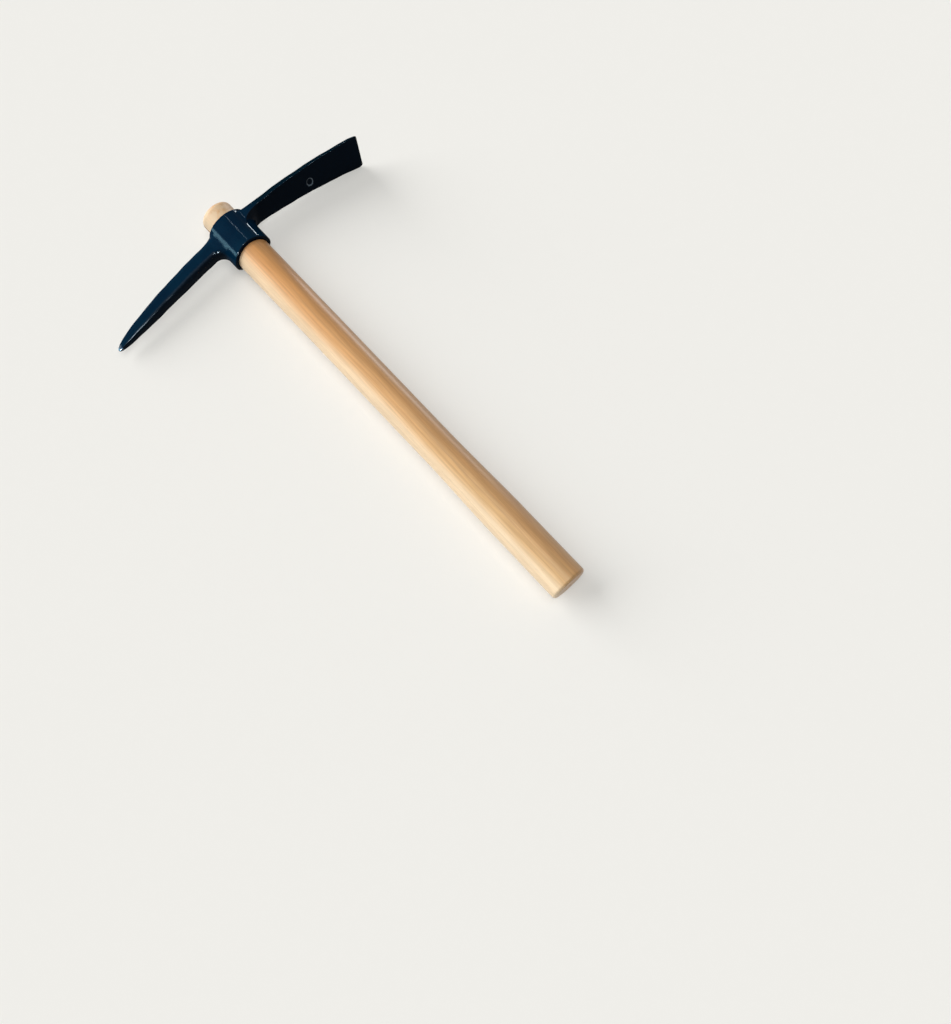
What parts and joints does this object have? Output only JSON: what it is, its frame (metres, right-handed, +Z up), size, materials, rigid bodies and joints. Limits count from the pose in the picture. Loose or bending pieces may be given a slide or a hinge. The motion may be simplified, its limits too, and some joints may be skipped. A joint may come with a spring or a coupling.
{
  "type": "pick axe",
  "caption": "Short-handled pick axe: a forged, dark blue head with a square pick and a flat adze blade, wedged on a turned and varnished wooden handle.",
  "frame": {"origin": "on the floor, under the middle of the box that the lying tool fills", "axes": "+X along the handle to the grip end, +Y along the head to the blade, +Z up from the floor"},
  "size_m": [0.451, 0.2749, 0.051],
  "materials": {
    "blue_enamel": "glossy dark navy enamel on forged steel",
    "varnished_wood": "pale hardwood under clear satin varnish",
    "wedge_wood": "bare hardwood end grain",
    "wedge_steel": "bare mild steel"
  },
  "bodies": {
    "root": {"pick_head": "blue_enamel", "handle": "varnished_wood", "wooden_wedge": "wedge_wood", "pick_side_wedge": "wedge_steel", "blade_side_wedge": "wedge_steel"}
  },
  "joints": []
}
